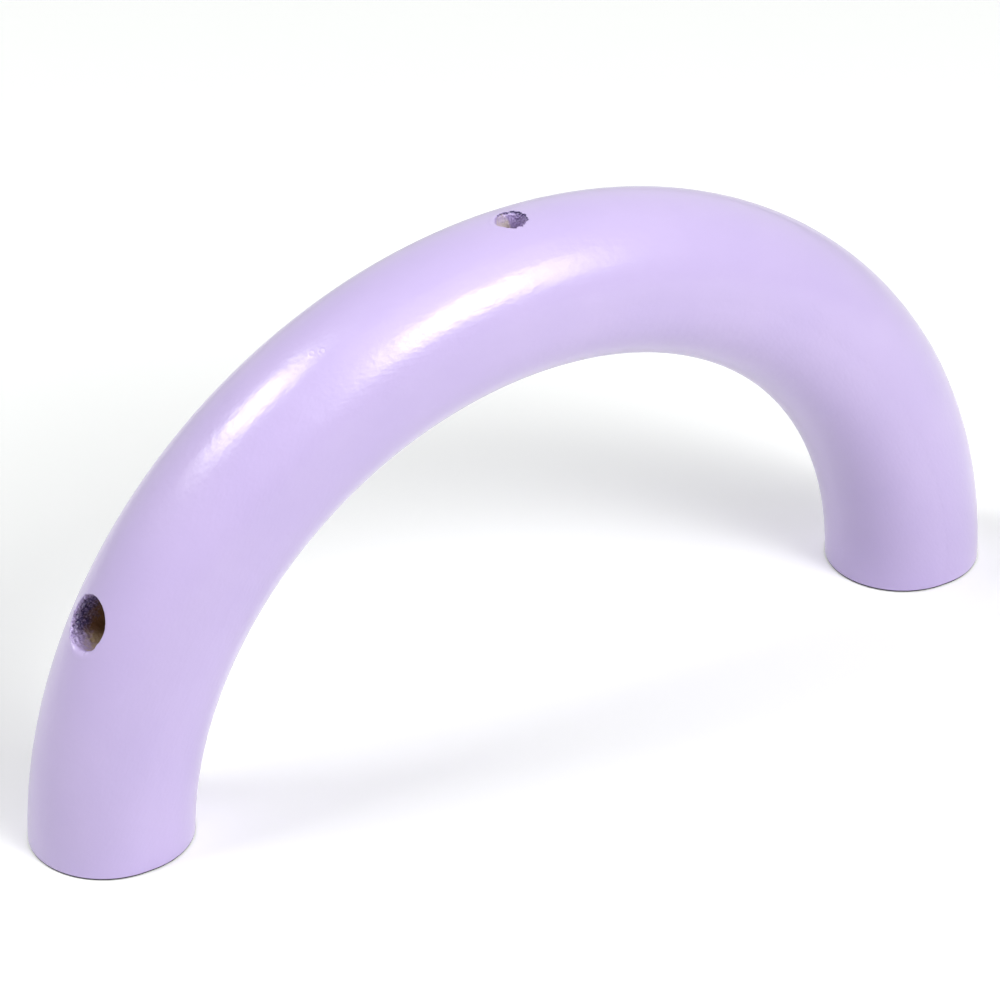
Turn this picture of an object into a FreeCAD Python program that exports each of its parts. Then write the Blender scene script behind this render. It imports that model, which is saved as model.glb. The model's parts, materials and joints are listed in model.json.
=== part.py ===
import FreeCAD, Part
import Sketcher
import math
import os

# A half ring of lacquered wood that stands on its two cut ends.
# It is glued up from three mitred segments with two dowels across each mitre.
# Millimetres and degrees. X runs along the span, Y front to back and Z up.
# The origin is on the floor, midway between the feet.
# An angle on the arch starts at the left foot and grows over the top to the right foot.

SIZES = [
    ("arch_outer_radius", 100.0, "arch's centre to the outside of the bar"),
    ("board_thickness", 28.0, "bar from front to back, and diameter of its two round edges"),
    ("side_flat", 1.5, "strip of the board's face left between the two round edges"),
    ("foot_trim", 2.0, "saw cut and sanding taken off each foot above the ring's diameter"),
    ("foot_edge_break", 0.4, "sanded edge round each foot"),
    ("side_socket_angle", 28.0, "side sockets, each from its own foot"),
    ("side_socket_diameter", 9.5, "socket in each leg"),
    ("side_socket_depth", 18.0, "full-width depth from the outside of the bar"),
    ("crown_socket_angle", 88.0, "crown socket, from the left foot"),
    ("crown_socket_diameter", 5.5, "socket in the crown"),
    ("crown_socket_depth", 14.0, "full-width depth from the outside of the bar"),
    ("drill_point_angle", 118.0, "cone that the drill leaves at the bottom of a socket"),
    ("dowel_diameter", 6.0, "dowel across a mitre"),
    ("dowel_length", 30.0, "half of it in each segment"),
    ("dowel_spacing", 13.0, "between the two dowels of a mitre, centre to centre"),
    ("dowel_chamfer", 0.8, "on both ends of a dowel"),
    ("flute_width", 0.5, "V-shaped flute along a dowel, across its mouth"),
    ("flute_depth", 0.25, "depth of a flute"),
    ("dowel_clearance", 0.05, "glue film round a dowel, on the radius"),
    ("dowel_end_gap", 1.0, "room for glue beyond each end of a dowel"),
    ("cut_overrun", 1.0, "how far a cut runs past the wood"),
]
FLUTE_COUNT = 8
FULL_TURN_ANGLE = 360.0
HALF_RING_ANGLE = FULL_TURN_ANGLE / 2
SAME_HEIGHT_SHARE = 1e-6

# Sizes that follow from the sheet
BAR_DEPTH = "(Sizes.board_thickness + Sizes.side_flat)"
CENTRE_RADIUS = f"(Sizes.arch_outer_radius - {BAR_DEPTH} / 2)"
DOWEL_RADII = {
    "outer": f"({CENTRE_RADIUS} + Sizes.dowel_spacing / 2)",
    "inner": f"({CENTRE_RADIUS} - Sizes.dowel_spacing / 2)",
}
DOWEL_HOLE_DIAMETER = "(Sizes.dowel_diameter + 2 * Sizes.dowel_clearance)"
DOWEL_HOLE_DEPTH = "(Sizes.dowel_length / 2 + Sizes.dowel_end_gap)"

ORIGIN = FreeCAD.Vector(0, 0, 0)
X_AXIS = FreeCAD.Vector(1, 0, 0)
Y_AXIS = FreeCAD.Vector(0, 1, 0)
Z_AXIS = FreeCAD.Vector(0, 0, 1)

# How a sketch names its own origin, its X axis, and the two ends and the middle of an edge
SKETCH_ORIGIN = (-1, 1)
SKETCH_X_AXIS = -1
START, END, MIDDLE = range(1, 4)

doc = FreeCAD.newDocument("WoodenArch")
sheet = doc.addObject("Spreadsheet::Sheet", "Sizes")
for row, (alias, size, meaning) in enumerate(SIZES, start=1):
    sheet.set(f"A{row}", alias)
    sheet.set(f"B{row}", str(size))
    sheet.set(f"C{row}", meaning)
    sheet.setAlias(f"B{row}", alias)
doc.recompute()


def value(expression):
    """Number that an expression on the sheet stands for."""
    return float(sheet.evalExpression(expression))


def add_body(label):
    body = doc.addObject("PartDesign::Body", label)
    body.Label = label
    return body


def origin_feature(body, role):
    for feature in body.Origin.OriginFeatures:
        if feature.Role == role:
            return feature
    raise ValueError(f"{body.Label} has no {role}")


def bind(target, **expressions):
    for name, expression in expressions.items():
        target.setExpression(name, expression)


def turn(target, placement, axis, angle, **shifts):
    """Turn the target's placement about an axis, shift it, and bind both."""
    first_turn = FreeCAD.Rotation(axis, HALF_RING_ANGLE / 2)
    setattr(target, placement, FreeCAD.Placement(ORIGIN, first_turn))
    target.setExpression(f"{placement}.Rotation.Angle", angle)
    for direction, expression in shifts.items():
        target.setExpression(f"{placement}.Base.{direction}", expression)


def add_sketch(body, name, plane):
    sketch = body.newObject("Sketcher::SketchObject", name)
    sketch.AttachmentSupport = [(origin_feature(body, plane), "")]
    sketch.MapMode = "FlatFace"
    return sketch


def dimension(sketch, expression, kind, *points):
    """Dimension the sketch, bound to the sheet."""
    index = sketch.addConstraint(Sketcher.Constraint(kind, *points, value(expression)))
    sketch.setExpression(f"Constraints[{index}]", expression)


def add_circle(sketch, diameter, distance=None):
    """Circle on the sketch's origin, or on its X axis at a distance to the left."""
    left = value(distance) if distance else 0
    centre = FreeCAD.Vector(-left, 0, 0)
    circle = sketch.addGeometry(Part.Circle(centre, Z_AXIS, value(diameter) / 2))
    dimension(sketch, diameter, "Diameter", circle)
    if distance:
        sketch.addConstraint(Sketcher.Constraint("PointOnObject", circle, MIDDLE, SKETCH_X_AXIS))
        dimension(sketch, distance, "DistanceX", circle, MIDDLE, *SKETCH_ORIGIN)
    else:
        sketch.addConstraint(Sketcher.Constraint("Coincident", circle, MIDDLE, *SKETCH_ORIGIN))


def finish_cut(body, feature):
    """Make the cut the body's last feature, and stop if it took no wood away."""
    body.Tip = feature
    doc.recompute()
    if not feature.Shape.Volume < feature.BaseFeature.Shape.Volume:
        raise ValueError(f"{body.Label}: {feature.Label} cuts nothing")


def drill(body, sketch, name, diameter, depth, bottom, along_normal):
    """Blind hole at each circle of the sketch, with a flat or a coned bottom."""
    doc.recompute()
    hole = body.newObject("PartDesign::Hole", name)
    hole.Profile = sketch
    hole.DepthType = "Dimension"
    hole.DrillPoint = bottom
    hole.DrillForDepth = False
    hole.Reversed = along_normal
    bind(hole, Diameter=diameter, Depth=depth)
    if bottom == "Angled":
        bind(hole, DrillPointAngle="Sizes.drill_point_angle")
    finish_cut(body, hole)


def add_bar(body, angle):
    """Round-edged bar swept up from the ring's diameter about the arch's centre."""
    sketch = add_sketch(body, "BarSection", "XY_Plane")
    radius = value("Sizes.board_thickness / 2")
    flat = value("Sizes.side_flat")
    outer_x = -value(CENTRE_RADIUS) - flat / 2
    inner_x = outer_x + flat
    outer_circle = Part.Circle(FreeCAD.Vector(outer_x, 0, 0), Z_AXIS, radius)
    inner_circle = Part.Circle(FreeCAD.Vector(inner_x, 0, 0), Z_AXIS, radius)
    outer_front = FreeCAD.Vector(outer_x, -radius, 0)
    inner_front = FreeCAD.Vector(inner_x, -radius, 0)
    outer_back = FreeCAD.Vector(outer_x, radius, 0)
    inner_back = FreeCAD.Vector(inner_x, radius, 0)
    quarter = math.pi / 2
    outer = sketch.addGeometry(Part.ArcOfCircle(outer_circle, quarter, 3 * quarter))
    front = sketch.addGeometry(Part.LineSegment(outer_front, inner_front))
    inner = sketch.addGeometry(Part.ArcOfCircle(inner_circle, -quarter, quarter))
    back = sketch.addGeometry(Part.LineSegment(inner_back, outer_back))
    sketch.addConstraint([
        Sketcher.Constraint("Tangent", outer, END, front, START),
        Sketcher.Constraint("Tangent", front, END, inner, START),
        Sketcher.Constraint("Tangent", inner, END, back, START),
        Sketcher.Constraint("Tangent", back, END, outer, START),
        Sketcher.Constraint("Horizontal", front),
        Sketcher.Constraint("PointOnObject", outer, MIDDLE, SKETCH_X_AXIS),
    ])
    dimension(sketch, "Sizes.board_thickness / 2", "Radius", outer)
    dimension(sketch, "Sizes.side_flat", "DistanceX", outer, MIDDLE, inner, MIDDLE)
    outer_distance = f"{CENTRE_RADIUS} + Sizes.side_flat / 2"
    dimension(sketch, outer_distance, "DistanceX", outer, MIDDLE, *SKETCH_ORIGIN)

    bar = body.newObject("PartDesign::Revolution", "Bar")
    bar.Profile = sketch
    bar.ReferenceAxis = (origin_feature(body, "Y_Axis"), [""])
    bar.Angle = angle
    body.Tip = bar
    doc.recompute()


def end_sketch(body, name, end):
    """Sketch on the lower or the upper end of a segment."""
    sketch = add_sketch(body, name, "XY_Plane")
    if end == "Upper":
        turn(sketch, "AttachmentOffset", Y_AXIS, str(SEGMENT_ANGLE))
    return sketch


def drill_mitre(body, end):
    """Two blind dowel holes, square to the mitre."""
    sketch = end_sketch(body, f"{end}DowelCentres", end)
    for distance in DOWEL_RADII.values():
        add_circle(sketch, DOWEL_HOLE_DIAMETER, distance)
    name = f"{end}DowelHoles"
    into_wood = end == "Lower"
    drill(body, sketch, name, DOWEL_HOLE_DIAMETER, DOWEL_HOLE_DEPTH, "Flat", into_wood)


def saw_foot(body, end):
    """Cut the foot flat a little above the ring's diameter, and break its edge."""
    sketch = end_sketch(body, "SawCut", end)
    add_circle(sketch, "2 * (Sizes.board_thickness + Sizes.cut_overrun)", CENTRE_RADIUS)
    trim = body.newObject("PartDesign::Pocket", "FootTrim")
    trim.Profile = sketch
    trim.Reversed = end == "Lower"
    bind(trim, Length="Sizes.foot_trim")
    finish_cut(body, trim)

    edge_break = body.newObject("PartDesign::Chamfer", "FootEdgeBreak")
    edge_break.Base = (trim, outline_of_foot(trim.Shape, sketch.Placement))
    bind(edge_break, Size="Sizes.foot_edge_break")
    finish_cut(body, edge_break)


def outline_of_foot(shape, ring_diameter):
    """Names of the edges that lie the trim away from the ring's diameter."""
    to_diameter = ring_diameter.inverse()
    trim = value("Sizes.foot_trim")
    names = []
    for number, edge in enumerate(shape.Edges, start=1):
        heights = [abs(to_diameter.multVec(point).z) for point in edge.discretize(3)]
        if all(math.isclose(height, trim, rel_tol=SAME_HEIGHT_SHARE) for height in heights):
            names.append(f"Edge{number}")
    return names


def add_socket(body, socket, angle):
    """Drilled socket that points at the arch's centre, its angle from the segment's lower end."""
    sketch = add_sketch(body, "SocketCentre", "YZ_Plane")
    up = f"Sizes.arch_outer_radius * sin({angle})"
    across = f"-Sizes.arch_outer_radius * cos({angle})"
    turn(sketch, "AttachmentOffset", X_AXIS, angle, y=up, z=across)
    diameter = f"Sizes.{socket}_socket_diameter"
    add_circle(sketch, diameter)
    drill(body, sketch, "Socket", diameter, f"Sizes.{socket}_socket_depth", "Angled", True)


# Name, what is done to the lower and the upper end, which socket, and its angle from the left foot
SEGMENTS = [
    ("left_leg_segment", saw_foot, drill_mitre, "side", "Sizes.side_socket_angle"),
    ("crown_segment", drill_mitre, drill_mitre, "crown", "Sizes.crown_socket_angle"),
    ("right_leg_segment", drill_mitre, saw_foot, "side", f"{HALF_RING_ANGLE} - Sizes.side_socket_angle"),
]
SEGMENT_ANGLE = HALF_RING_ANGLE / len(SEGMENTS)


def add_segment(index):
    """A segment is made where the lowest one on the left lies, then turned up to its place."""
    name, make_lower, make_upper, socket, socket_angle = SEGMENTS[index]
    start_angle = index * SEGMENT_ANGLE
    body = add_body(name)
    add_bar(body, SEGMENT_ANGLE)
    make_lower(body, "Lower")
    make_upper(body, "Upper")
    add_socket(body, socket, f"({socket_angle} - {start_angle})")
    turn(body, "Placement", Y_AXIS, str(start_angle), z="-Sizes.foot_trim")
    return body


def add_flute_outline(sketch):
    """Triangle that cuts one flute: its point at the bottom, its base past the dowel's surface."""
    bottom = "Sizes.dowel_diameter / 2 - Sizes.flute_depth"
    base = "Sizes.dowel_diameter / 2 + Sizes.cut_overrun"
    base_width = "Sizes.flute_width * (Sizes.flute_depth + Sizes.cut_overrun) / Sizes.flute_depth"
    point = FreeCAD.Vector(-value(bottom), 0, 0)
    front = FreeCAD.Vector(-value(base), -value(base_width) / 2, 0)
    back = FreeCAD.Vector(-value(base), value(base_width) / 2, 0)
    front_side = sketch.addGeometry(Part.LineSegment(point, front))
    outside = sketch.addGeometry(Part.LineSegment(front, back))
    back_side = sketch.addGeometry(Part.LineSegment(back, point))
    sketch.addConstraint([
        Sketcher.Constraint("Coincident", front_side, END, outside, START),
        Sketcher.Constraint("Coincident", outside, END, back_side, START),
        Sketcher.Constraint("Coincident", back_side, END, front_side, START),
        Sketcher.Constraint("PointOnObject", front_side, START, SKETCH_X_AXIS),
        Sketcher.Constraint("Symmetric", outside, START, outside, END, SKETCH_X_AXIS),
    ])
    dimension(sketch, bottom, "DistanceX", front_side, START, *SKETCH_ORIGIN)
    dimension(sketch, base, "DistanceX", outside, START, *SKETCH_ORIGIN)
    dimension(sketch, base_width, "DistanceY", outside, START, outside, END)


def add_dowel(name, mitre_angle, ring_radius):
    """Fluted dowel, half of it in each of the two segments that meet at the mitre."""
    body = add_body(name)
    section = add_sketch(body, "DowelSection", "XY_Plane")
    add_circle(section, "Sizes.dowel_diameter")
    rod = body.newObject("PartDesign::Pad", "Rod")
    rod.Profile = section
    rod.Midplane = True
    bind(rod, Length="Sizes.dowel_length")
    doc.recompute()

    chamfer = body.newObject("PartDesign::Chamfer", "EndChamfers")
    round_edges = []
    for number, edge in enumerate(rod.Shape.Edges, start=1):
        if isinstance(edge.Curve, Part.Circle):
            round_edges.append(f"Edge{number}")
    chamfer.Base = (rod, round_edges)
    bind(chamfer, Size="Sizes.dowel_chamfer")
    finish_cut(body, chamfer)

    flute_section = add_sketch(body, "FluteSection", "XY_Plane")
    add_flute_outline(flute_section)
    flute = body.newObject("PartDesign::Pocket", "Flute")
    flute.Profile = flute_section
    flute.Midplane = True
    bind(flute, Length="Sizes.dowel_length + 2 * Sizes.cut_overrun")
    finish_cut(body, flute)

    flutes = body.newObject("PartDesign::PolarPattern", "Flutes")
    flutes.Originals = [flute]
    flutes.Axis = (origin_feature(body, "Z_Axis"), [""])
    flutes.Angle = FULL_TURN_ANGLE
    flutes.Occurrences = FLUTE_COUNT
    body.Tip = flutes

    across = f"-{ring_radius} * cos({mitre_angle})"
    up = f"{ring_radius} * sin({mitre_angle}) - Sizes.foot_trim"
    turn(body, "Placement", Y_AXIS, str(mitre_angle), x=across, z=up)
    doc.recompute()
    return body


def check(bodies):
    """Stop if a feature failed or a piece isn't one valid solid."""
    for feature in doc.Objects:
        if {"Invalid", "Error"} & set(feature.State):
            raise ValueError(f"{feature.Label} failed: {feature.State}")
    for body in bodies:
        if body.Shape.isNull() or not body.Shape.isValid() or len(body.Shape.Solids) != 1:
            raise ValueError(f"{body.Label} isn't one valid solid")


pieces = [add_segment(index) for index in range(len(SEGMENTS))]
for mitre, side in enumerate(["left", "right"], start=1):
    for place, ring_radius in DOWEL_RADII.items():
        pieces.append(add_dowel(f"{side}_{place}_dowel", mitre * SEGMENT_ANGLE, ring_radius))
doc.recompute()
check(pieces)

os.makedirs("parts", exist_ok=True)
for piece in pieces:
    piece.Shape.exportStep(f"parts/{piece.Label}.step")
    print(piece.Label, "volume", round(piece.Shape.Volume), "cubic mm")
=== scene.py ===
import json
import math

import bpy
import numpy as np
from mathutils import Matrix, Quaternion, Vector, noise
from mathutils.geometry import delaunay_2d_cdt


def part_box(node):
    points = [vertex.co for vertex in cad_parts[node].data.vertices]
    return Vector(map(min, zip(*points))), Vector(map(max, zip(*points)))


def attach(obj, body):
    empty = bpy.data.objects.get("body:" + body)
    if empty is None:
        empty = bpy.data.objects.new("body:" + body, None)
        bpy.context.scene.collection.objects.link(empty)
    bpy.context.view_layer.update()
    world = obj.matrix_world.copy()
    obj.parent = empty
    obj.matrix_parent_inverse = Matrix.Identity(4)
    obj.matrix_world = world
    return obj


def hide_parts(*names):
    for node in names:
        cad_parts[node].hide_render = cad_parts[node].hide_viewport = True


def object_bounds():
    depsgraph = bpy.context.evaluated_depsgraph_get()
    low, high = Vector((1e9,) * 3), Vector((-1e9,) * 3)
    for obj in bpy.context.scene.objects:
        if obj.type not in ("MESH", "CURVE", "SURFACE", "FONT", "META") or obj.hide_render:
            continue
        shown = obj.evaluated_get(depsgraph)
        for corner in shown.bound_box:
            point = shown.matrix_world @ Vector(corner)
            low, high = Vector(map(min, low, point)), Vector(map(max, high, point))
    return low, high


# A small wooden arch in lilac lacquer, on a white table. Metres and radians, in the frame's axes:
# X along the span, Y from front to back, Z up from the table.
# An angle on the arch starts at the left foot and grows over the top to the right foot.

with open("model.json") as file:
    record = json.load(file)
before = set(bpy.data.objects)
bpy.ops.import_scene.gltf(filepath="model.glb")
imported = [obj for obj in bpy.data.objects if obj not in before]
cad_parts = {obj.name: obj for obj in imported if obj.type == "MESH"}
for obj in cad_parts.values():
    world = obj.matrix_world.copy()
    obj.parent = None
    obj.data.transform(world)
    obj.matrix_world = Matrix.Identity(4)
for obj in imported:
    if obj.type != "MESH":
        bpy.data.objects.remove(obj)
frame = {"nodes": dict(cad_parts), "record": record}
cad_low, cad_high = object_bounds()
mounts = {mount["name"]: mount for mount in frame["record"]["mounts"]}
MM = 0.001
TURN = 2 * math.pi


def mount_line(name):
    """Middle and outward direction of a socket's bore."""
    return Vector(mounts[name]["pos_m"]), Vector(mounts[name]["axis"])


# The bar, from the frame
side_middle, side_axis = mount_line("left_socket")
BAR_RADIUS = (cad_high.y - cad_low.y) / 2
CENTRE_HEIGHT = side_middle.z - side_axis.z * side_middle.x / side_axis.x
OUTER_RADIUS = cad_high.z - CENTRE_HEIGHT
CENTRE_RADIUS = abs(mounts["left_foot"]["pos_m"][0])
HALF_FLAT = OUTER_RADIUS - CENTRE_RADIUS - BAR_RADIUS
ARCH_CENTRE = Vector((0, 0, CENTRE_HEIGHT))
SEGMENT_ANGLE = math.pi / 3
FOOT_EDGE = 0.4 * MM

# Dowel holes in the mitres
DOWEL_HOLE_RADIUS = 3.05 * MM
DOWEL_HOLE_DEPTH = 16 * MM
DRILL_POINT_HALF_ANGLE = math.radians(59)

# When a mitre's face is divided: how near two points are one, and the share of a dowel hole's
# radius inside which a triangle's middle lies in the hole
SAME_POINT = 1e-9
INSIDE_HOLE_SHARE = 0.98

# How finely a segment is divided
CELLS_ROUND = 128
CELLS_ALONG = 120
FOOT_EDGE_ROWS = 4
DOWEL_HOLE_SIDES = 32

# What a face belongs to
LACQUERED, WALL, RAW, FOOT = range(4)

# The lacquer lies a little inside the bar's outline, and waves in it go deeper:
# depth of all together, their shortest and longest, and how many
SINK = 0.05 * MM
WAVE_DEPTH = 0.02 * MM
WAVE_SHORTEST = 5 * MM
WAVE_LONGEST = 20 * MM
WAVE_COUNT = 9
WAVE_SEED = 7


def make_waves():
    """Wave vectors, phases and depths of the lacquer's waviness."""
    chance = np.random.default_rng(WAVE_SEED)
    directions = chance.normal(size=(WAVE_COUNT, 3))
    directions /= np.linalg.norm(directions, axis=1, keepdims=True)
    lengths = np.geomspace(WAVE_SHORTEST, WAVE_LONGEST, WAVE_COUNT)
    depths = lengths / lengths.sum() * WAVE_DEPTH
    phases = chance.uniform(0, TURN, WAVE_COUNT)
    return directions * (TURN / lengths)[:, None], phases, depths


WAVES, WAVE_PHASES, WAVE_DEPTHS = make_waves()


def settle(points, normals):
    """Sink points of the ideal bar by the lacquer's waviness, and tilt their normals to match."""
    angles = points @ WAVES.T + WAVE_PHASES
    height = (WAVE_DEPTHS * np.sin(angles)).sum(axis=-1)
    slope = (WAVE_DEPTHS * np.cos(angles)) @ WAVES
    slope -= (slope * normals).sum(axis=-1, keepdims=True) * normals
    tilted = normals - slope
    tilted /= np.linalg.norm(tilted, axis=-1, keepdims=True)
    return points + (height - WAVE_DEPTH - SINK)[..., None] * normals, tilted


def section(along):
    """Half flat's share and outward turn at a distance round the section from its outermost point.

    Gives the radial offset of the arc's centre from the bar's centre line, and the turn of the
    outward normal from the arch's radial direction towards the back."""
    quarter = BAR_RADIUS * math.pi / 2
    flat = 2 * HALF_FLAT
    curved = np.clip(along, 0, quarter)
    curved = curved + np.clip(along - quarter - flat, 0, 2 * quarter)
    curved = curved + np.clip(along - 3 * quarter - 2 * flat, 0, quarter)
    offset = HALF_FLAT - np.clip(along - quarter, 0, flat)
    offset = offset + np.clip(along - 3 * quarter - flat, 0, flat)
    return offset, curved / BAR_RADIUS


PERIMETER = TURN * BAR_RADIUS + 4 * HALF_FLAT
ROUND = np.arange(CELLS_ROUND) * PERIMETER / CELLS_ROUND


def on_arch(angle, radial, sideways):
    """Points from the angle on the arch, the distance from its centre and the offset to the back."""
    angle, radial, sideways = np.broadcast_arrays(angle, radial, sideways)
    x = -radial * np.cos(angle)
    z = CENTRE_HEIGHT + radial * np.sin(angle)
    return np.stack([x, sideways, z], axis=-1)


def arch_direction(angle, radial, sideways):
    """A direction in the bar's section at an angle on the arch."""
    return on_arch(angle, radial, sideways) - np.array(ARCH_CENTRE)


def onward(angle):
    """Direction along the arch, towards the right foot."""
    return Vector((math.sin(angle), 0, math.cos(angle)))


def ring(angle, inset=0.0):
    """Points and normals round the bar at an angle on the arch, which may differ round the section."""
    offset, turned = section(ROUND)
    reach = BAR_RADIUS - inset
    radial = CENTRE_RADIUS + offset + reach * np.cos(turned)
    points = on_arch(angle, radial, reach * np.sin(turned))
    normals = arch_direction(angle, np.cos(turned), np.sin(turned))
    return points, normals


def foot_angle(height, inset, side):
    """Angle on the arch where the bar's skin, or a line inside it, is at a height over the table."""
    offset, turned = section(ROUND)
    radial = CENTRE_RADIUS + offset + (BAR_RADIUS - inset) * np.cos(turned)
    lift = np.arcsin((height - CENTRE_HEIGHT) / radial)
    return lift if side == "left" else math.pi - lift


class Skin:
    """Vertices and faces of one piece, gathered before its mesh is made."""

    def __init__(self, grain_angle):
        self.grain_angle = grain_angle
        self.points = []
        self.normals = []
        self.paint = []
        self.tone = []
        self.faces = []
        self.kinds = []

    def add(self, points, normals=None, paint=1.0, tone=0.0):
        """Add vertices. Where normals are given, they show on lacquered faces. Returns their numbers."""
        first = len(self.points)
        count = len(points)
        self.points.extend(tuple(point) for point in points)
        if normals is None:
            normals = np.zeros((count, 3))
        self.normals.extend(tuple(normal) for normal in normals)
        self.paint.extend(np.broadcast_to(paint, count))
        self.tone.extend(np.broadcast_to(tone, count))
        return list(range(first, first + count))

    def face(self, corners, kind):
        self.faces.append(tuple(corners))
        self.kinds.append(kind)

    def band(self, lower, upper, kind):
        """Quads between two closed rings of the same count."""
        count = len(lower)
        for here in range(count):
            onward_here = (here + 1) % count
            self.face([lower[here], lower[onward_here], upper[onward_here], upper[here]], kind)

    def widening_band(self, few, many, kind):
        """Triangles between a closed ring and one of twice its count."""
        count = len(few)
        for here in range(count):
            after = (here + 1) % count
            first, middle = many[2 * here], many[2 * here + 1]
            last = many[(2 * here + 2) % (2 * count)]
            self.face([few[here], middle, first], kind)
            self.face([few[here], few[after], middle], kind)
            self.face([few[after], last, middle], kind)

    def on_board(self):
        """Vertices in the board that the piece was sawn from: along the grain, across it, and depth."""
        along = np.array(onward(self.grain_angle))
        across = arch_direction(self.grain_angle, 1.0, 0.0)
        points = np.array(self.points)
        return np.stack([points @ along, points @ across, points[:, 1]], axis=1)

    def object(self, name, materials):
        """Blender object with the gathered mesh."""
        mesh = bpy.data.meshes.new(name)
        mesh.from_pydata(self.points, [], self.faces)
        kinds = np.array(self.kinds)
        mesh.polygons.foreach_set("use_smooth", np.isin(kinds, (LACQUERED, WALL)))
        for material in materials:
            mesh.materials.append(material)
        mesh.polygons.foreach_set("material_index", np.isin(kinds, (RAW,)).astype(np.int32))
        for attribute, numbers in (("paint", self.paint), ("tone", self.tone)):
            layer = mesh.attributes.new(attribute, "FLOAT", "POINT")
            layer.data.foreach_set("value", np.array(numbers, np.float32))
        layer = mesh.attributes.new("board", "FLOAT_VECTOR", "POINT")
        layer.data.foreach_set("vector", self.on_board().astype(np.float32).ravel())
        mesh.update()
        sizes = np.zeros(len(mesh.polygons), np.int32)
        mesh.polygons.foreach_get("loop_total", sizes)
        corners = np.zeros(len(mesh.loops), np.int32)
        mesh.loops.foreach_get("vertex_index", corners)
        shown = np.array(self.normals)[corners]
        shown[np.repeat(kinds, sizes) != LACQUERED] = 0
        mesh.normals_split_custom_set(shown.tolist())
        made = bpy.data.objects.new(name, mesh)
        bpy.context.scene.collection.objects.link(made)
        return made


# Sockets: the torn mouth and what the lacquer reached

LIP_ROWS = 5
MOUTH_RINGS = 12
MOUTH_RINGS_CLOSENESS = 1.6
RINGS_BEFORE_DOUBLING = (3, 7)
WALL_STEP = 0.12 * MM
WALL_GROWTH = 1.06
WALL_STEP_LARGEST = 1.2 * MM
POINT_RINGS = 5

# Radius of the lip where it is torn and where it is cleanly cut, and the share of the socket's
# radius that it has where it is worn round
TORN_LIP = 0.12 * MM
CLEAN_LIP = 0.26 * MM
WORN_LIP_SHARE = 0.25

# Thickened lacquer round a mouth: its height, and its middle and half width from the lip outwards
BEAD_HEIGHT = 0.03 * MM
BEAD_MIDDLE = 0.35 * MM
BEAD_HALF_WIDTH = 0.35 * MM

SIDE_FADE = math.radians(25)
PAINT_FADE = 4.0 * MM
PAINT_UNEVENNESS = 1.4 * MM

# Tears in a mouth's edge, each the size of its lumps and how deep it reaches, and the share of them
# where the mouth is cleanly cut
TEARS = ((0.9 * MM, 0.30 * MM), (0.35 * MM, 0.34 * MM))
CLEAN_SHARE = 0.1

# Chips in it: where their noise is taken, the size of their lumps, from which noise on one
# starts, and how deep one may be, in millimetres
CHIP_PLACE = 3 * MM
CHIP_SIZE = 0.9 * MM
CHIP_START = 0.1
CHIP_LARGEST = 0.25

# Crumbs on a torn lip: where their noise is taken, their size in lumps, from which noise on one
# starts, and how steeply it stands up
CRUMB_PLACE = 7 * MM
CRUMB_SIZE = 0.8
CRUMB_START = 0.08
CRUMB_STEEPNESS = 2.2

# Pits in a wall: shares of the wide and the narrow ones, and how rough a clean wall is
WIDE_PITS = 1.2
NARROW_PITS = 0.8
CLEAN_ROUGHNESS = 0.06

# Depth over which the mouth's tears fade from the wall, and the size of lumps in the lacquer's end
TEAR_FADE = 0.5 * MM
PAINT_LUMPS = 1.1 * MM

# Depths from which and over which painted shade darkens the wall on its shaded side, how dark the
# painted shade in the pits of a torn wall is, down to where it is paler, and how deep the tears reach
DARK_START = 0.5 * MM
DARK_DEPTH = 1.4 * MM
PIT_DARKNESS = 1.2
PALE_RIM = 0.4 * MM
TORN_DEPTH = 2.5 * MM

# Crevice below a lip: where it is deepest, its half width, its depth in sizes of the lumps, and how
# dark the painted shadow in it is and down to where it reaches
CREVICE_DEPTH = 0.27 * MM
CREVICE_HALF_WIDTH = 0.2 * MM
CREVICE_SHARE = 0.7
CREVICE_DARKNESS = 0.85
CREVICE_REACH = 0.45 * MM

# Depth from which wood is fully pale
PALE_DEPTH = 1.0 * MM


def between(turn, start, end):
    """1 between two turns in degrees, fading to 0 outside them."""
    start, end = math.radians(start), math.radians(end)
    away = abs((turn - (start + end) / 2 + math.pi) % TURN - math.pi) - (end - start) / 2
    share = min(1.0, max(0.0, 1 - away / SIDE_FADE))
    return share * share * (3 - 2 * share)


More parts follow.
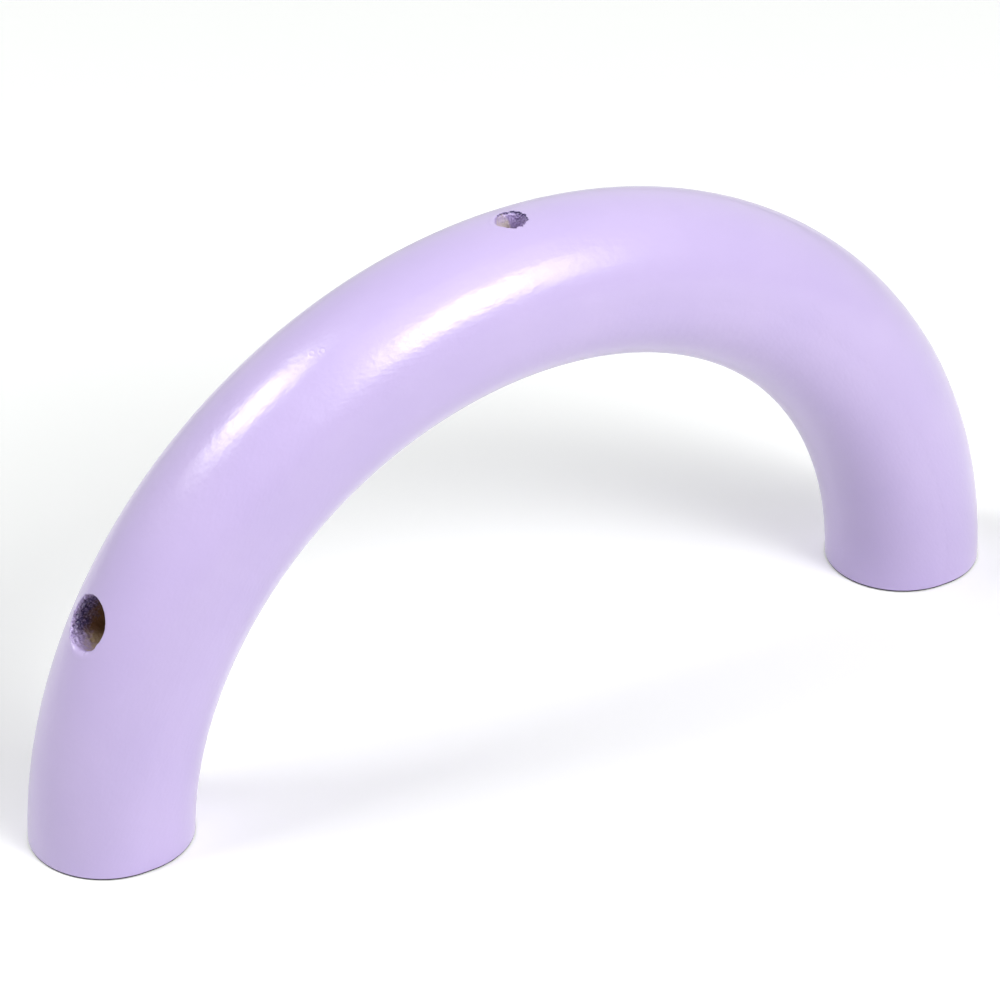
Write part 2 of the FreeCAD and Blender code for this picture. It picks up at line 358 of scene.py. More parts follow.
class Socket:
    """A drilled socket: where it is, and how its mouth is torn.

    A turn round the socket starts at the arch's onward direction and grows towards the back.
    torn, worn, bare, dark and pale are from which to which turn, in degrees, the mouth is torn,
    its lip is worn round, the lacquer ends soon, painted shade darkens the wall deep down, and the
    wood is pale; a crevice with painted shadow in it runs below the lip from one turn to another.
    Dark, pale or crevice may be missing. The window is how many of the bar's cells the socket's
    surroundings take, to each side along the bar and round it. Lumps on a torn wall have a size.
    Crumbs of lacquer on a torn lip stand up to a height. A nick is the turn of its middle, its width and
    its depth."""

    def __init__(
        self,
        mount,
        window,
        torn,
        worn,
        bare,
        paint_depth,
        bare_depth,
        lumps,
        crumbs,
        nick,
        seed,
        dark=None,
        pale=None,
        crevice=None,
    ):
        self.middle, self.axis = mount_line(mount)
        self.radius = mounts[mount]["dims"]["r_mm"] * MM
        self.length = mounts[mount]["dims"]["length_mm"] * MM
        self.angle = math.atan2(self.axis.z, -self.axis.x)
        self.bottom = (self.middle - ARCH_CENTRE).length - self.length / 2
        self.window = window
        self.torn = torn
        self.worn = worn
        self.bare = bare
        self.dark = dark
        self.pale = pale
        self.crevice = crevice
        self.paint_depth = paint_depth
        self.bare_depth = bare_depth
        self.lumps = lumps
        self.crumbs = crumbs
        self.nick = nick
        self.seed = seed

    def rough(self, turn, depth, size):
        """Noise round zero over the socket's wall, with lumps of a size."""
        place = Vector((math.cos(turn), math.sin(turn), 0)) * self.radius / size
        place.z = depth / size + self.seed
        return noise.noise(place)

    def tornness(self, turn):
        """From near 0, cleanly cut, to 1, torn."""
        return CLEAN_SHARE + (1 - CLEAN_SHARE) * between(turn, *self.torn)

    def lip(self, turn):
        """Radius of the rounding between the bar's skin and the wall."""
        cut = TORN_LIP + (CLEAN_LIP - TORN_LIP) * (1 - between(turn, *self.torn))
        return cut + (WORN_LIP_SHARE * self.radius - cut) * between(turn, *self.worn)

    def edge(self, turn):
        """Radius of the mouth inside its lip, with its tears and chips."""
        tear = sum(depth * self.rough(turn, 0, size) for size, depth in TEARS)
        chip = min(CHIP_LARGEST, max(0.0, self.rough(turn, CHIP_PLACE, CHIP_SIZE) - CHIP_START))
        middle, width, depth = self.nick
        away = ((turn - math.radians(middle) + math.pi) % TURN - math.pi) * self.radius
        nick = depth * math.exp(-((2 * away / width) ** 2))
        return self.radius + self.tornness(turn) * (tear + chip * MM) + nick

    def crumb(self, turn, place):
        """How far a crumb of lacquer stands out of the lip."""
        lump = self.rough(turn, CRUMB_PLACE + place, CRUMB_SIZE * self.lumps) - CRUMB_START
        return between(turn, *self.torn) * max(0.0, lump) * CRUMB_STEEPNESS * self.crumbs

    def pits(self, turn, depth):
        """Pits of a torn wall, above zero, and its lumps, below zero."""
        pits = WIDE_PITS * self.rough(turn, depth, self.lumps)
        pits += NARROW_PITS * self.rough(turn, depth, self.lumps / 2)
        pits *= self.tornness(turn) * math.exp(-depth / TORN_DEPTH) + CLEAN_ROUGHNESS
        if self.crevice:
            away = (depth - CREVICE_DEPTH) / CREVICE_HALF_WIDTH
            pits += CREVICE_SHARE * between(turn, *self.crevice) * math.exp(-away * away)
        return pits

    def wall(self, turn, depth):
        """Radius of the wall at a depth below the mouth."""
        torn = (self.edge(turn) - self.radius) * math.exp(-depth / TEAR_FADE)
        return self.radius + torn + self.pits(turn, depth) * self.lumps

    def paint(self, turn, depth):
        """How much lacquer covers the wall, from 0 to 1, before the material breaks it up."""
        bare = between(turn, *self.bare)
        reach = self.paint_depth * (1 - bare) + self.bare_depth * bare
        reach += PAINT_UNEVENNESS * self.rough(turn, depth, PAINT_LUMPS)
        return min(1.0, max(0.0, 0.5 + (reach - depth) / PAINT_FADE))

    def tone(self, turn, depth):
        """-1 where the wood is pale, 0 where the colours are plain, 1 where painted shade is darkest."""
        # Painted shade in the pits of a torn wall, paler near the rim
        tone = PIT_DARKNESS * max(0.0, self.pits(turn, depth)) * min(1.0, depth / PALE_RIM)
        # Painted shadow in the crevice below the lip
        if self.crevice:
            reached = math.exp(-((depth / CREVICE_REACH) ** 2))
            tone += CREVICE_DARKNESS * between(turn, *self.crevice) * reached
        # Painted shade deep in the socket on its shaded side
        if self.dark:
            tone += between(turn, *self.dark) * min(1.0, max(0.0, (depth - DARK_START) / DARK_DEPTH))
        if self.pale:
            tone -= between(turn, *self.pale) * min(1.0, depth / PALE_DEPTH)
        return min(1.0, max(-1.0, tone))


def on_outer_skin(socket, across, back):
    """Points and normals of the ideal bar's outer side, straight out along the socket's axis."""
    crown = np.sqrt(BAR_RADIUS**2 - back**2)
    radial = CENTRE_RADIUS + HALF_FLAT + crown
    out = np.sqrt(radial**2 - across**2)
    angle = socket.angle + np.arcsin(across / radial)
    points = on_arch(angle, radial, back)
    normals = arch_direction(angle, crown / BAR_RADIUS, back / BAR_RADIUS)
    return points, normals, out


def doubled(ring_values):
    """A closed ring's values with their midpoints between them."""
    middles = (ring_values + np.roll(ring_values, -1, axis=0)) / 2
    return np.stack([ring_values, middles], axis=1).reshape(2 * len(ring_values), -1)


def raise_bead(socket, points, normals, turns, distances):
    """Raise skin points by the bead round a mouth, from their distances to the lip."""
    steps = (distances - BEAD_MIDDLE) / BEAD_HALF_WIDTH
    height = BEAD_HEIGHT * np.exp(-steps**2)
    slope = -2 * steps / BEAD_HALF_WIDTH * height
    away = np.outer(np.cos(turns), onward(socket.angle)) + np.outer(np.sin(turns), (0, 1, 0))
    tilted = normals - slope[:, None] * away
    tilted /= np.linalg.norm(tilted, axis=1, keepdims=True)
    return points + height[:, None] * normals, tilted


def add_socket(skin, socket, border):
    """Fill the window in the bar's skin with the socket's surroundings, mouth, wall and bottom."""
    across_way = onward(socket.angle)
    corners = np.array([skin.points[number] for number in border]) - np.array(ARCH_CENTRE)
    window = np.stack([corners @ np.array(across_way), corners[:, 1]], axis=1)
    last = border
    for step in range(1, MOUTH_RINGS + 1):
        widens = step in RINGS_BEFORE_DOUBLING
        if widens:
            window = doubled(window)
        share = 1 - (1 - step / MOUTH_RINGS) ** MOUTH_RINGS_CLOSENESS
        turns = np.arctan2(window[:, 1], window[:, 0])
        edges = np.array([socket.edge(turn) for turn in turns])
        lips = np.array([socket.lip(turn) for turn in turns])
        mouth = (edges + lips)[:, None] * np.stack([np.cos(turns), np.sin(turns)], axis=1)
        flat = window * (1 - share) + mouth * share
        points, normals = settle(*on_outer_skin(socket, flat[:, 0], flat[:, 1])[:2])
        distances = np.linalg.norm(flat - mouth, axis=1)
        points, normals = raise_bead(socket, points, normals, turns, distances)
        numbers = skin.add(points, normals)
        if widens:
            skin.widening_band(last, numbers, LACQUERED)
        else:
            skin.band(last, numbers, LACQUERED)
        last = numbers

    for row in range(1, LIP_ROWS + 1):
        turn_in = row / LIP_ROWS * math.pi / 2
        crumbs = np.array([socket.crumb(turn, row * TORN_LIP) for turn in turns])
        radii = edges + lips * (1 - math.sin(turn_in)) - crumbs * math.sin(turn_in)
        sink = lips * (1 - math.cos(turn_in)) - crumbs * math.cos(turn_in)
        rims = on_outer_skin(socket, radii * np.cos(turns), radii * np.sin(turns))[2] - SINK
        # Painted shade on the lip, growing from its outer rows to its inner ones
        tone = np.array([socket.tone(turn, row * TORN_LIP / 2) for turn in turns])
        tone = tone * min(1.0, 2 * row / LIP_ROWS)
        last = add_wall_ring(skin, socket, last, turns, radii, rims - sink, 1.0, tone)

    bore = socket.radius * np.cos(turns), socket.radius * np.sin(turns)
    outs = on_outer_skin(socket, *bore)[2] - SINK
    deepest = OUTER_RADIUS - socket.bottom
    depth, wall_step = 0.0, WALL_STEP
    while depth + wall_step < deepest:
        depth += wall_step
        wall_step = min(wall_step * WALL_GROWTH, WALL_STEP_LARGEST)
        share = depth / deepest
        depths = lips * (1 - share) + depth
        radii = np.array([socket.wall(*place) for place in zip(turns, depths)])
        paint = np.array([socket.paint(*place) for place in zip(turns, depths)])
        tone = np.array([socket.tone(*place) for place in zip(turns, depths)])
        levels = outs * (1 - share) + OUTER_RADIUS * share - depths
        last = add_wall_ring(skin, socket, last, turns, radii, levels, paint, tone)
    point_depth = socket.radius / math.tan(DRILL_POINT_HALF_ANGLE)
    for row in range(POINT_RINGS):
        share = row / POINT_RINGS
        radii = np.full(len(turns), socket.radius * (1 - share))
        level = np.full(len(turns), socket.bottom - point_depth * share)
        last = add_wall_ring(skin, socket, last, turns, radii, level, 0.0, tone)
    tip = ARCH_CENTRE + socket.axis * (socket.bottom - point_depth)
    tip_number = skin.add([tip], paint=0.0)[0]
    for here in range(len(last)):
        skin.face([last[here], last[(here + 1) % len(last)], tip_number], WALL)


def add_wall_ring(skin, socket, last, turns, radii, levels, paint, tone):
    """One more ring of the socket, at each turn's radius and distance from the arch's centre."""
    across_way = np.array(onward(socket.angle))
    back_way = np.array((0, 1, 0))
    out_way = np.array(socket.axis)
    points = np.array(ARCH_CENTRE) + np.outer(radii * np.cos(turns), across_way)
    points = points + np.outer(radii * np.sin(turns), back_way) + np.outer(levels, out_way)
    numbers = skin.add(points, paint=paint, tone=tone)
    skin.band(last, numbers, WALL)
    return numbers


# Ends of a segment

DOWELS = {
    "left": ("left_outer_dowel", "left_inner_dowel"),
    "right": ("right_outer_dowel", "right_inner_dowel"),
}


def dowel_offsets(side):
    """Distance of each dowel of a mitre from the bar's centre line, outwards."""
    offsets = []
    for node in DOWELS[side]:
        low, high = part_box(node)
        offsets.append(((low + high) / 2 - ARCH_CENTRE).length - CENTRE_RADIUS)
    return offsets


def add_mitre(skin, outline, angle, side, faces_onward):
    """Flat end of a segment with its two dowel holes."""
    sides = np.arange(DOWEL_HOLE_SIDES) * TURN / DOWEL_HOLE_SIDES
    inward = onward(angle) * (-1 if faces_onward else 1)
    rims = []
    for offset in dowel_offsets(side):
        radial = CENTRE_RADIUS + offset + DOWEL_HOLE_RADIUS * np.cos(sides)
        rim = on_arch(angle, radial, DOWEL_HOLE_RADIUS * np.sin(sides))
        rims.append(skin.add(rim))
        deep = skin.add(rim + np.array(inward) * DOWEL_HOLE_DEPTH)
        if faces_onward:
            skin.band(deep, rims[-1], RAW)
            skin.face(reversed(deep), RAW)
        else:
            skin.band(rims[-1], deep, RAW)
            skin.face(deep, RAW)

    loops = [outline] + rims
    numbers = sum(loops, [])
    places = np.array([skin.points[number] for number in numbers]) - np.array(ARCH_CENTRE)
    flat = np.stack([places @ arch_direction(angle, 1.0, 0.0), places[:, 1]], axis=1)
    edges = []
    first = 0
    for loop in loops:
        edges += [(first + here, first + (here + 1) % len(loop)) for here in range(len(loop))]
        first += len(loop)
    made = delaunay_2d_cdt([Vector(point) for point in flat], edges, [], 1, SAME_POINT)
    centres = [Vector((CENTRE_RADIUS + offset, 0)) for offset in dowel_offsets(side)]
    for corners in made[2]:
        middle = sum((made[0][corner] for corner in corners), Vector((0, 0))) / len(corners)
        away = min((middle - centre).length for centre in centres)
        if away < DOWEL_HOLE_RADIUS * INSIDE_HOLE_SHARE:
            continue
        real = [numbers[made[3][corner][0]] for corner in corners]
        skin.face(reversed(real) if faces_onward else real, RAW)


def add_foot(skin, outline, side):
    """Rounded edge and flat sole below the lowest ring of a leg."""
    last = outline
    for row in range(1, FOOT_EDGE_ROWS + 1):
        turn_in = row / FOOT_EDGE_ROWS * math.pi / 2
        inset = FOOT_EDGE * (1 - math.cos(turn_in))
        height = FOOT_EDGE * (1 - math.sin(turn_in))
        angle = foot_angle(height, inset, side)
        points, sideways = ring(angle, inset)
        down = np.array((0, 0, -1))
        normals = sideways * math.cos(turn_in) + down * math.sin(turn_in)
        points = settle(points, sideways)[0]
        points[:, 2] = height
        numbers = skin.add(points, normals)
        if side == "left":
            skin.band(numbers, last, LACQUERED)
        else:
            skin.band(last, numbers, LACQUERED)
        last = numbers
    skin.face(last if side == "left" else reversed(last), FOOT)


def add_bar(skin, start, end, socket):
    """The bar's skin from one angle on the arch to another, with a window for the socket."""
    steps = np.linspace(0, 1, CELLS_ALONG + 1)
    starts = np.broadcast_to(start, CELLS_ROUND)
    ends = np.broadcast_to(end, CELLS_ROUND)
    way = (socket.angle - np.mean(starts)) / (np.mean(ends) - np.mean(starts))
    centre_row = round(way * CELLS_ALONG)
    rows_out, columns_out = socket.window
    first_row, last_row = centre_row - rows_out, centre_row + rows_out
    rows = []
    for row, step in enumerate(steps):
        angle = starts * (1 - step) + ends * step
        points, normals = settle(*ring(angle))
        kept = list(range(CELLS_ROUND))
        if first_row < row < last_row:
            kept = [column for column in kept if columns_out <= column <= CELLS_ROUND - columns_out]
        numbers = dict(zip(kept, skin.add(points[kept], normals[kept])))
        rows.append(numbers)
    for row in range(CELLS_ALONG):
        for column in range(CELLS_ROUND):
            after = (column + 1) % CELLS_ROUND
            inside_rows = first_row <= row < last_row
            inside_columns = column < columns_out or column >= CELLS_ROUND - columns_out
            if inside_rows and inside_columns:
                continue
            corners = [rows[row][column], rows[row + 1][column], rows[row + 1][after], rows[row][after]]
            skin.face(corners, LACQUERED)
    left, right = (-columns_out) % CELLS_ROUND, columns_out
    over = [column % CELLS_ROUND for column in range(-columns_out, columns_out)]
    border = [rows[row][left] for row in range(first_row, last_row)]
    border += [rows[last_row][column] for column in over]
    border += [rows[row][right] for row in range(last_row, first_row, -1)]
    border += [rows[first_row][(-column) % CELLS_ROUND] for column in over]
    return border, list(rows[0].values()), list(rows[-1].values())


def add_segment(name, node, lower, upper, socket, materials):
    """One of the three segments, from its lower to its upper end on the way over the arch.

    An end is a side whose foot or mitre it is: ("foot", "left") or ("mitre", "left")."""
    angles = {
        ("foot", "left"): foot_angle(FOOT_EDGE, 0.0, "left"),
        ("mitre", "left"): SEGMENT_ANGLE,
        ("mitre", "right"): 2 * SEGMENT_ANGLE,
        ("foot", "right"): foot_angle(FOOT_EDGE, 0.0, "right"),
    }
    skin = Skin((np.mean(angles[lower]) + np.mean(angles[upper])) / 2)
    border, lowest, highest = add_bar(skin, angles[lower], angles[upper], socket)
    add_socket(skin, socket, border)
    for (kind, side), outline, faces_onward in ((lower, lowest, False), (upper, highest, True)):
        if kind == "foot":
            add_foot(skin, outline, side)
        else:
            add_mitre(skin, outline, angles[(kind, side)], side, faces_onward)
    made = skin.object(name, materials)
    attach(made, "root")
    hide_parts(node)
    return made


# Materials

LILAC = (0.642, 0.522, 0.868)
LILAC_DEEP = (0.612, 0.496, 0.848)
# Colour towards which painted shade darkens the lacquer in the sockets: in pits, below lips and deep
# down
LILAC_PAINTED_SHADE = (0.10, 0.075, 0.23)
BEECH_LIGHT = (0.64, 0.52, 0.35)
BEECH_DARK = (0.46, 0.33, 0.19)
BEECH_FLECK = (0.30, 0.18, 0.09)
# Colour towards which painted shade darkens the bare wood in the sockets
BEECH_PAINTED_SHADE = (0.26, 0.14, 0.07)
BEECH_PALE = (0.74, 0.65, 0.60)
LACQUER_ROUGHNESS = 0.28
LACQUER_IOR = 1.6
LACQUER_COAT = 0.5
COAT_ROUGHNESS = 0.21

# How close noise lies, per metre: along the board, across it and in its depth for the wood, and
# all ways for the lacquer
FIBRES = (260.0, 2200.0, 2200.0)
FLECKS = (500.0, 1900.0, 1400.0)
GRAIN = (500.0, 1700.0, 1700.0)
CLOUD_SCALE = 60.0
SWELL_SCALE = 300.0
PEEL_SCALE = 1000.0
SPECKLE_SCALE = 2600.0

# Between which values noise turns from one colour to another, between which a fleck in the wood
# shows, and how strongly
NOISE_RANGE = (0.3, 0.7)
FLECK_RANGE = (0.62, 0.7)
FLECK_STRENGTH = 0.35

# How unevenly the lacquer ends, over which share of it the wood is covered, and flecks in its tone of
# painted shade and pale wood: between which noise they turn from dark to pale, and how strongly
SPECKLE_STRENGTH = 0.15
COVER_RANGE = (0.2, 0.8)
TONE_FLECK_RANGE = (0.35, 0.65)
TONE_FLECK_STRENGTH = 0.7

# Roughness and relief of raw wood on a dowel and in a socket
DOWEL_ROUGHNESS = 0.62
SOCKET_ROUGHNESS = 0.65
DOWEL_RELIEF = 0.05 * MM
SOCKET_RELIEF = 0.08 * MM

# Relief in the lacquer: its swell, the grain of the wood that shows through it, and its peel
SWELL_HEIGHT = 0.06 * MM
GRAIN_HEIGHT = 0.024 * MM
PEEL_HEIGHT = 0.027 * MM

# Ring-shaped blisters in the lacquer: where each is, as its angle on the arch and its turn round the
# bar in degrees, and the radius, width and height of its ring
BLISTERS = ((63.6, -21.2), (62.7, -17.4))
BLISTER_RADIUS = 0.5 * MM
BLISTER_WIDTH = 0.3 * MM
BLISTER_HEIGHT = 0.014 * MM


class Nodes:
    """The nodes of a material or of the world, and short ways to add to them."""

    def __init__(self, owner):
        self.owner = owner
        owner.use_nodes = True
        self.tree = owner.node_tree
        self.tree.nodes.clear()

    def add(self, kind, **inputs):
        """Add a node. An input is set to a value, or linked to a socket."""
        made = self.tree.nodes.new(f"ShaderNode{kind}")
        for name, given in inputs.items():
            self.set(made.inputs[name.replace("_", " ")], given)
        return made

    def set(self, target, given):
        if isinstance(given, bpy.types.NodeSocket):
            self.tree.links.new(given, target)
        elif isinstance(given, tuple) and len(given) == 3 and target.type == "RGBA":
            target.default_value = (*given, 1.0)
        else:
            target.default_value = given

    def place(self):
        return self.add("TexCoord").outputs["Object"]

    def attribute(self, name):
        made = self.add("Attribute")
        made.attribute_name = name
        return made

    def noise(self, vector, scale, detail=2.0, roughness=0.5):
        made = self.add("TexNoise", Vector=vector, Scale=scale, Detail=detail, Roughness=roughness)
        return made.outputs["Fac"]

    def stretched(self, vector, factors):
        made = self.tree.nodes.new("ShaderNodeMapping")
        self.tree.links.new(vector, made.inputs["Vector"])
        made.inputs["Scale"].default_value = factors
        return made.outputs["Vector"]

    def mix(self, factor, low, high):
        made = self.tree.nodes.new("ShaderNodeMix")
        made.data_type = "RGBA"
        inputs = {target.identifier: target for target in made.inputs}
        self.set(inputs["Factor_Float"], factor)
        self.set(inputs["A_Color"], low)
        self.set(inputs["B_Color"], high)
        return {given.identifier: given for given in made.outputs}["Result_Color"]

    def span(self, given, low, high, to_low=0.0, to_high=1.0):
        """Map a range of values to another, held at its ends."""
        made = self.tree.nodes.new("ShaderNodeMapRange")
        self.set(made.inputs["Value"], given)
        names = ("From Min", "From Max", "To Min", "To Max")
        for name, number in zip(names, (low, high, to_low, to_high)):
            made.inputs[name].default_value = number
        return made.outputs["Result"]

    def maths(self, operation, first, second):
        made = self.tree.nodes.new("ShaderNodeMath")
        made.operation = operation
        self.set(made.inputs[0], first)
        self.set(made.inputs[1], second)
        return made.outputs["Value"]

    def bump(self, height, distance, normal=None):
        made = self.add("Bump", Height=height, Strength=1.0, Distance=distance)
        if normal is not None:
            self.tree.links.new(normal, made.inputs["Normal"])
        return made.outputs["Normal"]

    def finish(self, shader):
        kind = "World" if isinstance(self.owner, bpy.types.World) else "Material"
        self.add(f"Output{kind}", Surface=shader)
        return self.owner


def new_material(name):
    """The nodes of a new, empty material."""
    return Nodes(bpy.data.materials.new(name))


def beech_colour(made, board):
    """Raw beech: long fibres along the board and short darker flecks."""
    fibres = made.noise(made.stretched(board, FIBRES), 1.0, 4.0, 0.6)
    flecks = made.noise(made.stretched(board, FLECKS), 1.0, 1.0)
    colour = made.mix(made.span(fibres, *NOISE_RANGE), BEECH_DARK, BEECH_LIGHT)
    return made.mix(made.span(flecks, *FLECK_RANGE, 0.0, FLECK_STRENGTH), colour, BEECH_FLECK), fibres


def make_beech():
    made = new_material("raw_beech")
    colour, fibres = beech_colour(made, made.place())
    normal = made.bump(fibres, DOWEL_RELIEF)
    shader = made.add("BsdfPrincipled", Base_Color=colour, Roughness=DOWEL_ROUGHNESS, Normal=normal)
    return made.finish(shader.outputs["BSDF"])


def blister(made, place, angle, turn):
    """Height of a blister's ring, from 0 to 1."""
    radial = CENTRE_RADIUS + HALF_FLAT + BAR_RADIUS * math.cos(turn)
    away = made.tree.nodes.new("ShaderNodeVectorMath")
    away.operation = "DISTANCE"
    made.set(away.inputs[0], place)
    made.set(away.inputs[1], on_arch(angle, radial, BAR_RADIUS * math.sin(turn)))
    away = away.outputs["Value"]
    inner = made.span(away, BLISTER_RADIUS - BLISTER_WIDTH, BLISTER_RADIUS)
    outer = made.span(away, BLISTER_RADIUS, BLISTER_RADIUS + BLISTER_WIDTH, 1.0, 0.0)
    return made.maths("MULTIPLY", inner, outer)


def make_lacquer():
    """Opaque gloss lacquer over wood, which shows where the paint attribute runs out."""
    made = new_material("lilac_lacquer")
    place = made.place()
    board = made.attribute("board").outputs["Vector"]
    wood, fibres = beech_colour(made, board)
    cloud = made.noise(place, CLOUD_SCALE)
    lilac = made.mix(made.span(cloud, *NOISE_RANGE), LILAC_DEEP, LILAC)

    fine = made.noise(place, SPECKLE_SCALE, 3.0)
    speckle = made.span(fine, *NOISE_RANGE, -SPECKLE_STRENGTH, SPECKLE_STRENGTH)
    paint = made.attribute("paint").outputs["Fac"]
    covered = made.span(made.maths("ADD", paint, speckle), *COVER_RANGE)
    flecks = made.span(fine, *TONE_FLECK_RANGE, TONE_FLECK_STRENGTH, -TONE_FLECK_STRENGTH)
    flecks = made.maths("MULTIPLY", covered, flecks)
    # The tone attribute is painted shade in the sockets above 0, and pale wood below 0
    tone = made.attribute("tone").outputs["Fac"]
    tone = made.maths("MULTIPLY", tone, made.maths("ADD", flecks, 1.0))
    wood = made.mix(made.span(tone, -1.0, 0.0), BEECH_PALE, wood)
    # Painted shade darkens the wood and the lacquer towards their shade colours
    wood = made.mix(made.span(tone, 0.0, 1.0), wood, BEECH_PAINTED_SHADE)
    lilac = made.mix(made.span(tone, 0.0, 1.0), lilac, LILAC_PAINTED_SHADE)

    grain = made.noise(made.stretched(board, GRAIN), 1.0, 1.0)
    swell = made.noise(place, SWELL_SCALE, 1.0)
    peel = made.noise(place, PEEL_SCALE, 1.0)
    normal = made.bump(swell, SWELL_HEIGHT)
    normal = made.bump(grain, GRAIN_HEIGHT, normal)
    normal = made.bump(peel, PEEL_HEIGHT, normal)
    for angle, turn in BLISTERS:
        ring_height = blister(made, place, math.radians(angle), math.radians(turn))
        normal = made.bump(ring_height, BLISTER_HEIGHT, normal)
    bare = made.maths("SUBTRACT", 1.0, covered)
    normal = made.bump(made.maths("MULTIPLY", bare, fibres), SOCKET_RELIEF, normal)

    shader = made.add(
        "BsdfPrincipled",
        Base_Color=made.mix(covered, wood, lilac),
        Roughness=made.span(covered, 0.0, 1.0, SOCKET_ROUGHNESS, LACQUER_ROUGHNESS),
        IOR=LACQUER_IOR,
        Normal=normal,
        Coat_Weight=made.maths("MULTIPLY", covered, LACQUER_COAT),
        Coat_Roughness=COAT_ROUGHNESS,
        Coat_Normal=normal,
    )
    return made.finish(shader.outputs["BSDF"])


def seen_directly(made):
    """1 for camera, glossy and transmitted rays, 0 for the rest."""
    path = made.add("LightPath").outputs
    glossy = made.maths("MAXIMUM", path["Is Camera Ray"], path["Is Glossy Ray"])
    return made.maths("MAXIMUM", glossy, path["Is Transmission Ray"])


# Light and table

TABLE_GLOW = 0.17
TABLE_SHOWN = (0.985, 1.0, 0.975)
TABLE_BOUNCE = 0.80
TABLE_HALF_SIZE = 3.0
TABLE_CELLS = 4
TABLE_DROP = 0.01 * MM
SOLE_REACH = 0.1 * MM
FILL = 0.146
FILL_LEAN = (0.26, 0.44, -0.36)
FILL_TINT = (0.92, 0.94, 1.0)
WHITE_SHOWN = 1.0


def make_table():
    """White table top, clear from below and to the soles that stand on it, so that they show."""
    made = new_material("white_table")
    shown = made.add("AddShader")
    glow = made.add("Emission", Color=(1.0, 1.0, 1.0), Strength=TABLE_GLOW)
    lit = made.add("BsdfDiffuse", Color=TABLE_SHOWN)
    made.tree.links.new(glow.outputs[0], shown.inputs[0])
    made.tree.links.new(lit.outputs[0], shown.inputs[1])
    bounce = made.add("BsdfDiffuse", Color=(TABLE_BOUNCE, TABLE_BOUNCE, TABLE_BOUNCE))
    top = made.add("MixShader", Fac=seen_directly(made))
    made.tree.links.new(bounce.outputs[0], top.inputs[1])
    made.tree.links.new(shown.outputs[0], top.inputs[2])
    touching = made.maths("LESS_THAN", made.add("LightPath").outputs["Ray Length"], SOLE_REACH)
    backfacing = made.add("NewGeometry").outputs["Backfacing"]
    below = made.add("MixShader", Fac=made.maths("MAXIMUM", backfacing, touching))
    made.tree.links.new(top.outputs[0], below.inputs[1])
    made.tree.links.new(made.add("BsdfTransparent").outputs[0], below.inputs[2])
    material = made.finish(below.outputs[0])

    lines = np.linspace(-TABLE_HALF_SIZE, TABLE_HALF_SIZE, TABLE_CELLS + 1)
    points = [(x, y, -TABLE_DROP) for y in lines for x in lines]
    faces = []
    for row in range(TABLE_CELLS):
        for column in range(TABLE_CELLS):
            corner = row * (TABLE_CELLS + 1) + column
            above = corner + TABLE_CELLS + 1
            faces.append((corner, corner + 1, above + 1, above))
    mesh = bpy.data.meshes.new("table_top")
    mesh.from_pydata(points, [], faces)
    mesh.materials.append(material)
    table = bpy.data.objects.new("table_top", mesh)
    bpy.context.scene.collection.objects.link(table)


def make_world():
    """White wherever it is seen, and a softer fill on matt surfaces, stronger to one side."""
    made = Nodes(bpy.data.worlds.new("studio"))
    direction = made.add("TexCoord").outputs["Generated"]
    lean = made.tree.nodes.new("ShaderNodeVectorMath")
    lean.operation = "DOT_PRODUCT"
    made.set(lean.inputs[0], direction)
    made.set(lean.inputs[1], FILL_LEAN)
    fill = made.maths("MULTIPLY", made.maths("ADD", lean.outputs["Value"], 1.0), FILL)
    seen = seen_directly(made)
    colour = made.mix(seen, FILL_TINT, (1.0, 1.0, 1.0))
    strength = made.add("Mix", Factor=seen, A=fill, B=WHITE_SHOWN)
    background = made.add("Background", Color=colour, Strength=strength.outputs["Result"])
    bpy.context.scene.world = made.finish(background.outputs["Background"])


LAMP_DISTANCE = 1.5
LAMP_TARGET = Vector((0, 0, 0.06))

# Direction from the arch, turn about it, width, height and power of each lamp: two softboxes,
# each with its brighter middle, and a wide glow overhead.
LEFT_TURN = math.radians(25)
RIGHT_TURN = math.radians(-8)
SOFTBOXES = {
    "left_softbox": ((-0.543, 0.221, 0.797), LEFT_TURN, 0.72, 0.70, 3.9),
    "left_middle": ((-0.524, 0.219, 0.810), LEFT_TURN, 0.66, 0.40, 6.6),
    "right_softbox": ((0.242, -0.739, 0.628), RIGHT_TURN, 1.00, 0.72, 8.4),
    "right_middle": ((0.207, -0.750, 0.628), RIGHT_TURN, 0.40, 0.54, 6.4),
    "top_glow": ((0.120, -0.470, 0.870), RIGHT_TURN, 1.50, 1.10, 4.6),
}


def add_softbox(name, direction, turn, width, height, power):
    """Soft lamp that looks at the arch from a direction."""
    direction = Vector(direction).normalized()
    lamp = bpy.data.lights.new(name, "AREA")
    lamp.shape = "RECTANGLE"
    lamp.size = width
    lamp.size_y = height
    lamp.energy = power
    made = bpy.data.objects.new(name, lamp)
    made.location = LAMP_TARGET + direction * LAMP_DISTANCE
    made.rotation_mode = "QUATERNION"
    aimed = (-direction).to_track_quat("-Z", "Y")
    made.rotation_quaternion = aimed @ Quaternion((0, 0, 1), turn)
    bpy.context.scene.collection.objects.link(made)


# Camera: turn round the object, height over the horizon, roll, and how far it stands from its aim

CAMERA_TURN = -0.563762
CAMERA_RISE = 0.561389
CAMERA_ROLL = 0.003882
CAMERA_DISTANCE = 0.80623
CAMERA_AIM = Vector((-0.005477, 0, 0.041708))
CAMERA_LENS = 163.73
SENSOR = 36.0
CLIP_START = 0.05
CLIP_END = 20.0


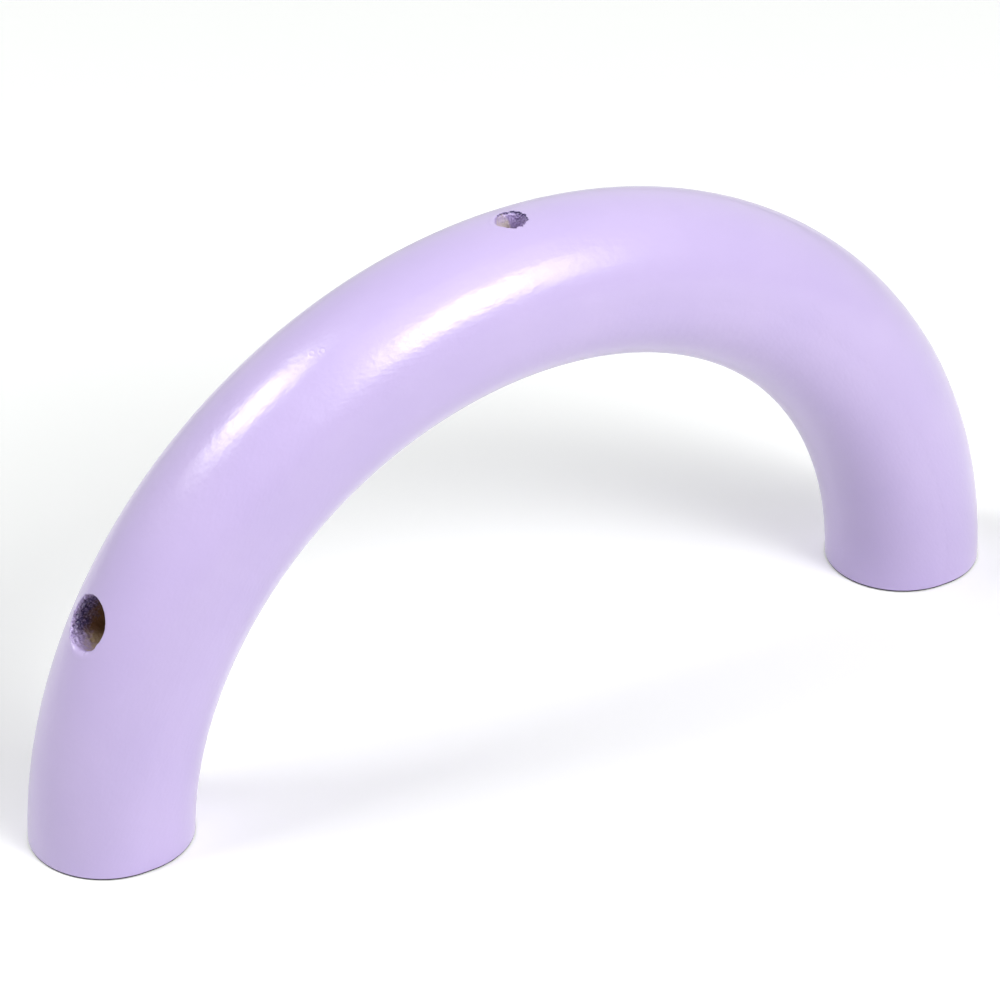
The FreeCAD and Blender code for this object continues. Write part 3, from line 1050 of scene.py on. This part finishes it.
def add_camera():
    """Camera at the photograph's angle."""
    flat_back = Vector((math.sin(CAMERA_TURN), -math.cos(CAMERA_TURN), 0))
    back = flat_back * math.cos(CAMERA_RISE) + Vector((0, 0, math.sin(CAMERA_RISE)))
    right = Vector((math.cos(CAMERA_TURN), math.sin(CAMERA_TURN), 0))
    up = back.cross(right)
    rolled_right = right * math.cos(CAMERA_ROLL) + up * math.sin(CAMERA_ROLL)
    rolled_up = back.cross(rolled_right)
    camera = bpy.data.cameras.new("camera")
    camera.lens = CAMERA_LENS
    camera.sensor_width = SENSOR
    camera.clip_start = CLIP_START
    camera.clip_end = CLIP_END
    made = bpy.data.objects.new("camera", camera)
    turned = Matrix((rolled_right, rolled_up, back)).transposed()
    made.matrix_world = Matrix.Translation(CAMERA_AIM + back * CAMERA_DISTANCE) @ turned.to_4x4()
    bpy.context.scene.collection.objects.link(made)
    bpy.context.scene.camera = made


lacquer = make_lacquer()
beech = make_beech()
LEFT_SOCKET = Socket(
    "left_socket",
    window=(9, 10),
    torn=(60, 150),
    worn=(185, 225),
    bare=(200, 300),
    dark=(55, 118),
    paint_depth=3.8 * MM,
    bare_depth=1.2 * MM,
    lumps=0.5 * MM,
    crumbs=0.40 * MM,
    nick=(207, 0.6 * MM, 0.15 * MM),
    seed=11.3,
)
CROWN_SOCKET = Socket(
    "crown_socket",
    window=(6, 6),
    torn=(-95, 95),
    worn=(170, 190),
    bare=(76, 115),
    pale=(60, 130),
    crevice=(-35, 100),
    paint_depth=5.0 * MM,
    bare_depth=0.9 * MM,
    lumps=0.26 * MM,
    crumbs=0.05 * MM,
    nick=(-75, 0.8 * MM, 0.15 * MM),
    seed=23.7,
)
RIGHT_SOCKET = Socket(
    "right_socket",
    window=(9, 10),
    torn=(60, 150),
    worn=(-20, 20),
    bare=(200, 300),
    dark=(55, 118),
    paint_depth=3.8 * MM,
    bare_depth=1.2 * MM,
    lumps=0.5 * MM,
    crumbs=0.34 * MM,
    nick=(-40, 0.6 * MM, 0.15 * MM),
    seed=37.1,
)
looks = [lacquer, beech]
left_foot, left_mitre = ("foot", "left"), ("mitre", "left")
right_mitre, right_foot = ("mitre", "right"), ("foot", "right")
add_segment("left_leg", "left_leg_segment", left_foot, left_mitre, LEFT_SOCKET, looks)
add_segment("crown", "crown_segment", left_mitre, right_mitre, CROWN_SOCKET, looks)
add_segment("right_leg", "right_leg_segment", right_mitre, right_foot, RIGHT_SOCKET, looks)

for nodes in DOWELS.values():
    for node in nodes:
        for slot in frame["nodes"][node].material_slots:
            slot.material = beech

make_table()
make_world()
for lamp_name, lamp_values in SOFTBOXES.items():
    add_softbox(lamp_name, *lamp_values)
add_camera()
bpy.context.scene.view_settings.view_transform = "Standard"
